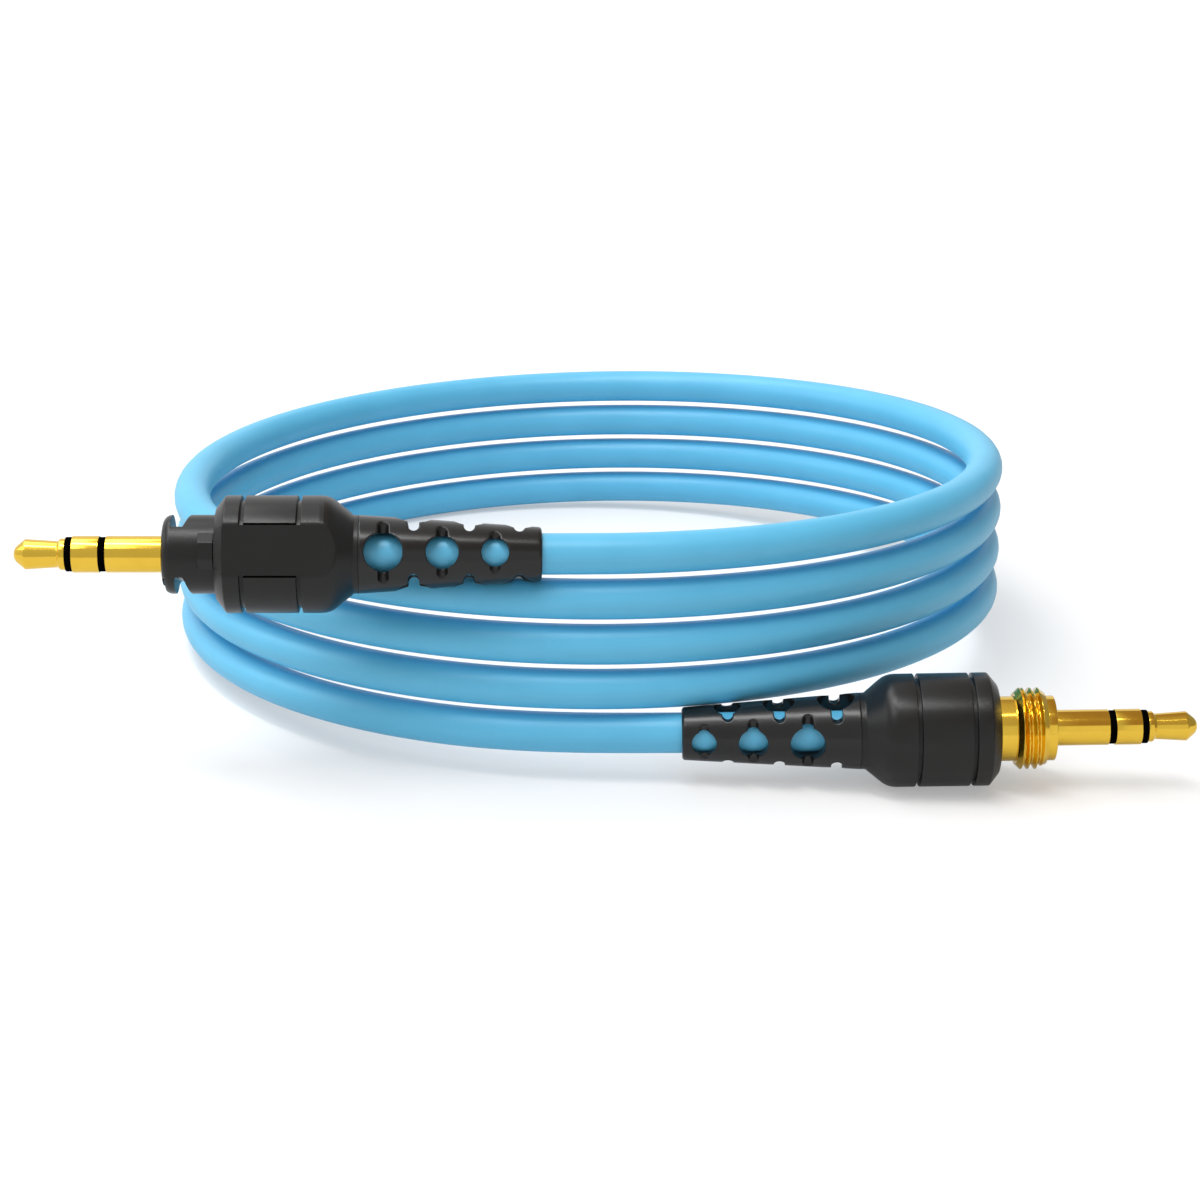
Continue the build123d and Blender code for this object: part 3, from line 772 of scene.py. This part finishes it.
def boot_cutters():
    """For each pair of holes, its bore and the round-bottomed groove over each of its ends."""
    cutters = []
    height = BOOT_FRONT - HOLE_FIRST
    pitch = HOLE_PITCH
    radius = HOLE_DIAMETER / 2
    half = GROOVE_WIDTH / 2
    beyond = 2 * BOOT_ROOT
    circle = [2 * math.pi * step / HOLE_STEPS for step in range(HOLE_STEPS)]
    bends = [math.pi * step / GROOVE_STEPS for step in range(GROOVE_STEPS + 1)]
    for index in range(HOLE_COUNT):
        even = index % 2 == 0
        hole = [(radius * math.cos(turn), height + radius * math.sin(turn)) for turn in circle]
        cutters.append(prism(hole, beyond, not even))
        for side in (1, -1):
            groove = [
                (side * (GROOVE_FLOOR + half - half * math.sin(bend)),
                 height + half * math.cos(bend))
                for bend in bends
            ]
            groove += [(side * beyond, height - half), (side * beyond, height + half)]
            cutters.append(prism(groove, beyond, even))
        height -= pitch
        pitch *= HOLE_PITCH_RATIO
        radius *= HOLE_RATIO
    return cutters


def make_boot():
    """The boot with its holes cut, then closed over by a fine skin whose edges are softened."""
    boot = lathe(rounded([
        (BOOT_INNER, CHAMBER_BACK), (COLLAR, CHAMBER_BACK), (COLLAR, BORE_END),
        (BOOT_WAIST, BORE_END), (BOOT_WAIST, BOOT_FRONT), (BOOT_ROOT, BOOT_FRONT, ROOT_ROUND),
        (BOOT_END, BOOT_BACK, END_ROUND), (BOOT_INNER, BOOT_BACK, LIP_ROUND),
    ]))
    for cutter in boot_cutters():
        holder = linked("cutter", cutter)
        cut = {"operation": "DIFFERENCE", "solver": "EXACT", "object": holder}
        boot = applied(boot, ("BOOLEAN", cut))
        bpy.data.objects.remove(holder)
    return applied(
        boot,
        ("REMESH", {"mode": "VOXEL", "voxel_size": VOXEL, "use_smooth_shade": True}),
        ("SMOOTH", {"factor": 0.5, "iterations": SMOOTHING}),
        ("DECIMATE", {"ratio": KEPT_FACES}),
    )


boot = make_boot()
add_piece("headphone_boot", boot.copy(), HEADPHONE, "headphone_strain_relief_boot", "boot_rubber")
add_piece("source_boot", boot, SOURCE_REAR, "source_strain_relief_boot", "boot_rubber")


# ---------------------------------------------------------------- stage
FLOOR_REACH = 8.0
FLOOR_DROP = 0.00001       # below the object, so that the two don't flicker
FLOOR_COLOUR = (0.64, 0.64, 0.64, 1)
DIM_GLOW = 0.12            # the floor's glow in reflections and in its light on the object
NEAR_GLOW = 0.34           # and for the camera, close to the object and far from it
FAR_GLOW = 0.60
GLOW_FADE = (0.1, 0.8)     # distances from the middle between which it grows

FRONT_LIGHT = (0.62, 0.62, 0.62)
BACK_LIGHT = (0.97, 0.97, 0.97)
RIGHT_LOW = (0.88, 0.88, 0.88)
RIGHT_HIGH = (0.37, 0.26, 0.20)
FAR_RIGHT = (0.36, 0.36, 0.36)
RIGHT_EDGE = (0.09, 0.15)  # where the right side starts, along X
FAR_EDGE = (0.38, 0.50)
HIGH_EDGE = (0.49, 0.57)   # where its high part starts, along Z

STRIPS = (                 # name, two ends, target, width and power
    ("top", (-0.24, -0.02, 0.90), (0.10, -0.36, 0.83), (0, -0.04, 0.01), 0.12, 2.2),
    ("top_left", (-0.32, 0.55, 0.80), (-0.32, -0.60, 0.80), (0, -0.02, 0.01), 0.3, 3.6),
    ("left", (-0.75, 0.25, 0.40), (-0.75, -0.25, 0.40), (0, 0, 0.01), 0.3, 0.8),
)


def make_stage():
    """A matt floor, whose glow brings it near white for the camera, the more so further away."""
    data = bpy.data.meshes.new("floor")
    corners = [(-1, -1), (1, -1), (1, 1), (-1, 1)]
    verts = [(x * FLOOR_REACH, y * FLOOR_REACH, 0) for x, y in corners]
    data.from_pydata(verts, [], [(0, 1, 2, 3)])
    floor = linked("floor", data)
    floor.location.z = -FLOOR_DROP
    material = bpy.data.materials.new("floor")
    material.use_nodes = True
    tree = material.node_tree
    tree.nodes.clear()
    out = tree.nodes.new("ShaderNodeOutputMaterial")
    matt = tree.nodes.new("ShaderNodeBsdfDiffuse")
    matt.inputs["Color"].default_value = FLOOR_COLOUR
    glow = tree.nodes.new("ShaderNodeEmission")
    both = tree.nodes.new("ShaderNodeAddShader")
    rays = tree.nodes.new("ShaderNodeLightPath")
    level = tree.nodes.new("ShaderNodeMapRange")
    level.inputs["To Min"].default_value = DIM_GLOW
    spot = tree.nodes.new("ShaderNodeTexCoord")
    away = tree.nodes.new("ShaderNodeVectorMath")
    away.operation = "LENGTH"
    tree.links.new(spot.outputs["Object"], away.inputs[0])
    fade = tree.nodes.new("ShaderNodeMapRange")
    fade.inputs["From Min"].default_value, fade.inputs["From Max"].default_value = GLOW_FADE
    fade.inputs["To Min"].default_value = NEAR_GLOW
    fade.inputs["To Max"].default_value = FAR_GLOW
    tree.links.new(away.outputs["Value"], fade.inputs["Value"])
    tree.links.new(fade.outputs["Result"], level.inputs["To Max"])
    tree.links.new(rays.outputs["Is Camera Ray"], level.inputs["Value"])
    tree.links.new(level.outputs[0], glow.inputs["Strength"])
    tree.links.new(matt.outputs[0], both.inputs[0])
    tree.links.new(glow.outputs[0], both.inputs[1])
    tree.links.new(both.outputs[0], out.inputs["Surface"])
    data.materials.append(material)


def make_world():
    """Light from all round, brighter at the back.

    The right side is bright below and dark above, and darker still at its end, which is what the
    source plug's gold reflects."""
    world = bpy.data.worlds.new("studio")
    bpy.context.scene.world = world
    world.use_nodes = True
    tree = world.node_tree
    tree.nodes.clear()
    out = tree.nodes.new("ShaderNodeOutputWorld")
    air = tree.nodes.new("ShaderNodeBackground")
    towards = tree.nodes.new("ShaderNodeTexCoord")
    parts = tree.nodes.new("ShaderNodeSeparateXYZ")
    tree.links.new(towards.outputs["Generated"], parts.inputs[0])

    def blend(axis, start, end, low, high):
        """The colour low before start along an axis, and high after end; either may be a link."""
        ramp = tree.nodes.new("ShaderNodeMapRange")
        ramp.interpolation_type = "SMOOTHSTEP"
        ramp.inputs["From Min"].default_value = start
        ramp.inputs["From Max"].default_value = end
        tree.links.new(parts.outputs[axis], ramp.inputs["Value"])
        mix = tree.nodes.new("ShaderNodeMix")
        mix.data_type = "RGBA"
        tree.links.new(ramp.outputs["Result"], mix.inputs["Factor"])
        for socket, colour in ((mix.inputs[6], low), (mix.inputs[7], high)):
            if isinstance(colour, tuple):
                socket.default_value = (*colour, 1)
            else:
                tree.links.new(colour, socket)
        return mix.outputs[2]

    middle = blend("Y", -1.0, 1.0, FRONT_LIGHT, BACK_LIGHT)
    right = blend("Z", *HIGH_EDGE, RIGHT_LOW, RIGHT_HIGH)
    right = blend("X", *FAR_EDGE, right, FAR_RIGHT)
    tree.links.new(blend("X", *RIGHT_EDGE, middle, right), air.inputs["Color"])
    tree.links.new(air.outputs[0], out.inputs["Surface"])


def add_strip(name, start, end, target, width, power):
    """A long softbox between two points, which faces a target."""
    start, end, target = Vector(start), Vector(end), Vector(target)
    middle = (start + end) / 2
    along = (end - start).normalized()
    back = (middle - target).normalized()
    back = (back - along * back.dot(along)).normalized()
    data = bpy.data.lights.new(name, "AREA")
    data.shape = "RECTANGLE"
    data.size = (end - start).length
    data.size_y = width
    data.energy = power
    lamp = linked(name, data)
    lamp.matrix_world = Matrix.Translation(middle) @ turned(along, back.cross(along), back)


make_stage()
make_world()
for strip in STRIPS:
    add_strip(*strip)

bpy.context.scene.view_settings.view_transform = "Standard"
